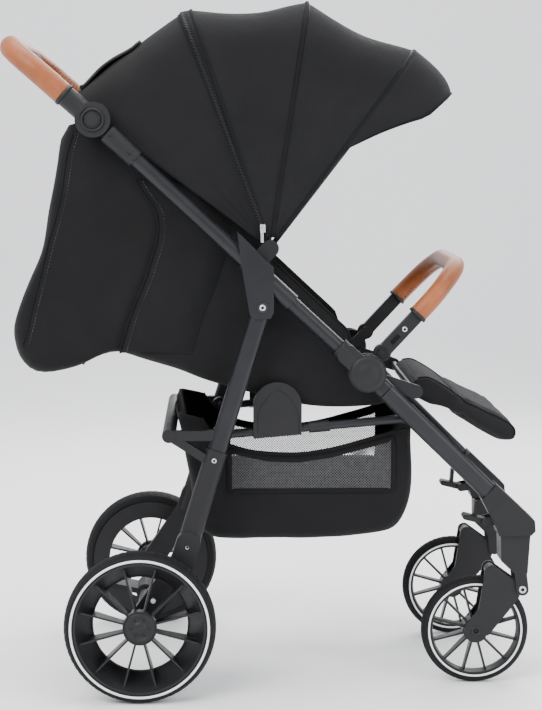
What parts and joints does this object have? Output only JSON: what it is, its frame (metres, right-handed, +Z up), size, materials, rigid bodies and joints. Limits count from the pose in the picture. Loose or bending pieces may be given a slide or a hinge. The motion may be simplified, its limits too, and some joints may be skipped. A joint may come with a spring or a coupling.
{
  "type": "baby stroller",
  "caption": "Folding baby stroller with hooded reclining seat, bumper bar, basket, tilting handle and sprung swivel front wheels.",
  "frame": {"origin": "middle of the footprint's box on the ground, under the seat", "axes": "+X towards the front wheels, +Y to the child's left, +Z up"},
  "size_m": [0.8586, 0.574, 1.1082],
  "materials": {
    "canopy_fabric": "matt woven polyester, near black",
    "seat_fabric": "matt woven polyester, near black, padded",
    "basket_fabric": "black fabric with a grey mesh window",
    "mesh": "open grey net",
    "webbing": "black woven webbing",
    "frame_metal": "satin black powder coat on aluminium tube",
    "black_plastic": "fine-grained black moulded plastic",
    "wheel_plastic": "smooth black moulded plastic",
    "leather": "tan-brown leatherette with stitching",
    "tyre_rubber": "matt black foam rubber with fine tread",
    "reflective": "white ring moulded in the tyre wall",
    "steel": "zinc-plated steel"
  },
  "bodies": {
    "upper_frame": {"upper_tubes": "frame_metal", "tube_sleeves": "black_plastic", "handle_hubs": "black_plastic", "fold_hubs": "black_plastic", "leg_brackets": "frame_metal", "leg_rivets": "steel", "canopy_mounts": "black_plastic", "canopy_rear": "canopy_fabric", "canopy_rib_rear": "black_plastic", "seat_shell": "seat_fabric", "seat_pad": "seat_fabric", "harness": "webbing", "bumper_sockets": "black_plastic", "seat_crossbar": "frame_metal"},
    "handle": {"push_handle": "frame_metal", "handle_grip": "leather", "handle_knuckles": "black_plastic"},
    "handle_button_left": {"handle_button_left": "black_plastic"},
    "handle_button_right": {"handle_button_right": "black_plastic"},
    "canopy_mid": {"canopy_mid": "canopy_fabric", "canopy_rib_mid": "black_plastic"},
    "canopy_front": {"canopy_front": "canopy_fabric", "canopy_rib_front": "black_plastic"},
    "canopy_visor": {"canopy_visor": "canopy_fabric"},
    "backrest": {"backrest": "seat_fabric"},
    "footrest": {"footrest": "seat_fabric"},
    "bumper": {"bumper_bar": "frame_metal", "bumper_grip": "leather", "bumper_ends": "black_plastic"},
    "bumper_button_left": {"bumper_button_left": "black_plastic"},
    "bumper_button_right": {"bumper_button_right": "black_plastic"},
    "front_frame": {"front_legs": "frame_metal", "front_crossbar": "frame_metal", "caster_housings": "black_plastic"},
    "lower_links": {"lower_links": "frame_metal", "link_sleeves": "black_plastic", "link_covers": "black_plastic", "basket": "basket_fabric"},
    "rear_frame": {"rear_legs": "frame_metal", "rear_sleeves": "black_plastic", "rear_crossbar": "black_plastic", "rear_axle": "frame_metal", "axle_housings": "black_plastic"},
    "caster_left": {"caster_left": "black_plastic"},
    "caster_right": {"caster_right": "black_plastic"},
    "arm_left": {"arm_left": "black_plastic"},
    "arm_right": {"arm_right": "black_plastic"},
    "front_wheel_left": {"front_wheel_left": "wheel_plastic", "front_tyre_left": "tyre_rubber"},
    "front_wheel_right": {"front_wheel_right": "wheel_plastic", "front_tyre_right": "tyre_rubber"},
    "rear_wheel_left": {"rear_wheel_left": "wheel_plastic", "rear_tyre_left": "tyre_rubber"},
    "rear_wheel_right": {"rear_wheel_right": "wheel_plastic", "rear_tyre_right": "tyre_rubber"},
    "brake_pedal": {"brake_pedal": "black_plastic"},
    "brake_pin_left": {"brake_pin_left": "steel"},
    "brake_pin_right": {"brake_pin_right": "steel"},
    "swivel_lock_left": {"swivel_lock_left": "black_plastic"},
    "swivel_lock_right": {"swivel_lock_right": "black_plastic"}
  },
  "joints": [
    {"name": "fold", "type": "hinge", "parent": "upper_frame", "child": "front_frame", "pos_m": [0.1555, 0, 0.515], "axis": [0, 1, 0], "range_deg": [0, 60], "deforming": ["basket"]},
    {"name": "rear_leg_fold", "type": "hinge", "parent": "upper_frame", "child": "rear_frame", "pos_m": [-0.0113, 0, 0.6204], "axis": [0, 1, 0], "range_deg": [0, 30.7]},
    {"name": "lower_link_fold", "type": "hinge", "parent": "front_frame", "child": "lower_links", "pos_m": [0.23733, 0, 0.43707], "axis": [0, -1, 0], "range_deg": [0, 41.8]},
    {"name": "handle_tilt", "type": "hinge", "parent": "upper_frame", "child": "handle", "pos_m": [-0.2774, 0, 0.91587], "axis": [0, -1, 0], "range_deg": [-30, 60]},
    {"name": "handle_button_left_press", "type": "slide", "parent": "upper_frame", "child": "handle_button_left", "axis": [0, -1, 0], "range_m": [0, 0.003], "stiffness_N_per_m": 600, "springref_m": -0.002},
    {"name": "handle_button_right_press", "type": "slide", "parent": "upper_frame", "child": "handle_button_right", "axis": [0, 1, 0], "range_m": [0, 0.003], "stiffness_N_per_m": 600, "springref_m": -0.002},
    {"name": "canopy_mid_fold", "type": "hinge", "parent": "upper_frame", "child": "canopy_mid", "pos_m": [0.00145, 0, 0.71217], "axis": [0, -1, 0], "range_deg": [0, 20]},
    {"name": "canopy_front_fold", "type": "hinge", "parent": "canopy_mid", "child": "canopy_front", "pos_m": [0.00145, 0, 0.71217], "axis": [0, -1, 0], "range_deg": [0, 20]},
    {"name": "visor_flip", "type": "hinge", "parent": "canopy_front", "child": "canopy_visor", "pos_m": [0.00145, 0, 0.71217], "axis": [0, -1, 0], "range_deg": [0, 12]},
    {"name": "recline", "type": "hinge", "parent": "upper_frame", "child": "backrest", "pos_m": [0.0575, 0, 0.483], "axis": [0, 1, 0], "range_deg": [0, 50]},
    {"name": "footrest_tilt", "type": "hinge", "parent": "upper_frame", "child": "footrest", "pos_m": [0.23495, 0, 0.48209], "axis": [0, -1, 0], "range_deg": [-20, 25]},
    {"name": "bumper_tilt", "type": "hinge", "parent": "upper_frame", "child": "bumper", "pos_m": [0.1821, 0, 0.54352], "axis": [0, 1, 0], "range_deg": [0, 45]},
    {"name": "bumper_button_left_press", "type": "slide", "parent": "bumper", "child": "bumper_button_left", "axis": [0, -1, 0], "range_m": [0, 0.002], "stiffness_N_per_m": 600, "springref_m": -0.002},
    {"name": "bumper_button_right_press", "type": "slide", "parent": "bumper", "child": "bumper_button_right", "axis": [0, 1, 0], "range_m": [0, 0.002], "stiffness_N_per_m": 600, "springref_m": -0.002},
    {"name": "swivel_left", "type": "hinge", "parent": "front_frame", "child": "caster_left", "pos_m": [0.39358, 0.16, 0.2455], "axis": [0, 0, 1], "continuous": true},
    {"name": "suspension_left", "type": "hinge", "parent": "caster_left", "child": "arm_left", "pos_m": [0.41158, 0.16, 0.1565], "axis": [0, 1, 0], "range_deg": [0, 5], "stiffness_Nm_per_rad": 60, "springref_deg": -6.88},
    {"name": "front_wheel_spin_left", "type": "hinge", "parent": "arm_left", "child": "front_wheel_left", "pos_m": [0.33658, 0.16, 0.0875], "axis": [0, 1, 0], "continuous": true},
    {"name": "swivel_lock_lift_left", "type": "hinge", "parent": "front_frame", "child": "swivel_lock_left", "pos_m": [0.35158, 0.16, 0.2655], "axis": [0, 1, 0], "range_deg": [0, 12]},
    {"name": "rear_wheel_spin_left", "type": "hinge", "parent": "rear_frame", "child": "rear_wheel_left", "pos_m": [-0.2054, 0.265, 0.12], "axis": [0, 1, 0], "continuous": true},
    {"name": "swivel_right", "type": "hinge", "parent": "front_frame", "child": "caster_right", "pos_m": [0.39358, -0.16, 0.2455], "axis": [0, 0, 1], "continuous": true},
    {"name": "suspension_right", "type": "hinge", "parent": "caster_right", "child": "arm_right", "pos_m": [0.41158, -0.16, 0.1565], "axis": [0, 1, 0], "range_deg": [0, 5], "stiffness_Nm_per_rad": 60, "springref_deg": -6.88},
    {"name": "front_wheel_spin_right", "type": "hinge", "parent": "arm_right", "child": "front_wheel_right", "pos_m": [0.33658, -0.16, 0.0875], "axis": [0, 1, 0], "continuous": true},
    {"name": "swivel_lock_lift_right", "type": "hinge", "parent": "front_frame", "child": "swivel_lock_right", "pos_m": [0.35158, -0.16, 0.2655], "axis": [0, 1, 0], "range_deg": [0, 12]},
    {"name": "rear_wheel_spin_right", "type": "hinge", "parent": "rear_frame", "child": "rear_wheel_right", "pos_m": [-0.2054, -0.265, 0.12], "axis": [0, 1, 0], "continuous": true},
    {"name": "brake_press", "type": "hinge", "parent": "rear_frame", "child": "brake_pedal", "pos_m": [-0.2054, 0, 0.12], "axis": [0, -1, 0], "range_deg": [0, 18]},
    {"name": "brake_pin_left_slide", "type": "slide", "parent": "rear_frame", "child": "brake_pin_left", "axis": [0, 1, 0], "range_m": [0, 0.0165]},
    {"name": "brake_pin_right_slide", "type": "slide", "parent": "rear_frame", "child": "brake_pin_right", "axis": [0, -1, 0], "range_m": [0, 0.0165]}
  ],
  "couplings": [
    {"joint": "rear_leg_fold", "follows": "fold", "ratio": 0.51},
    {"joint": "lower_link_fold", "follows": "fold", "ratio": 0.695},
    {"joint": "canopy_front_fold", "follows": "canopy_mid_fold", "ratio": 1},
    {"joint": "brake_pin_left_slide", "follows": "brake_press", "m_per_rad": 0.052},
    {"joint": "brake_pin_right_slide", "follows": "brake_press", "m_per_rad": 0.052}
  ]
}
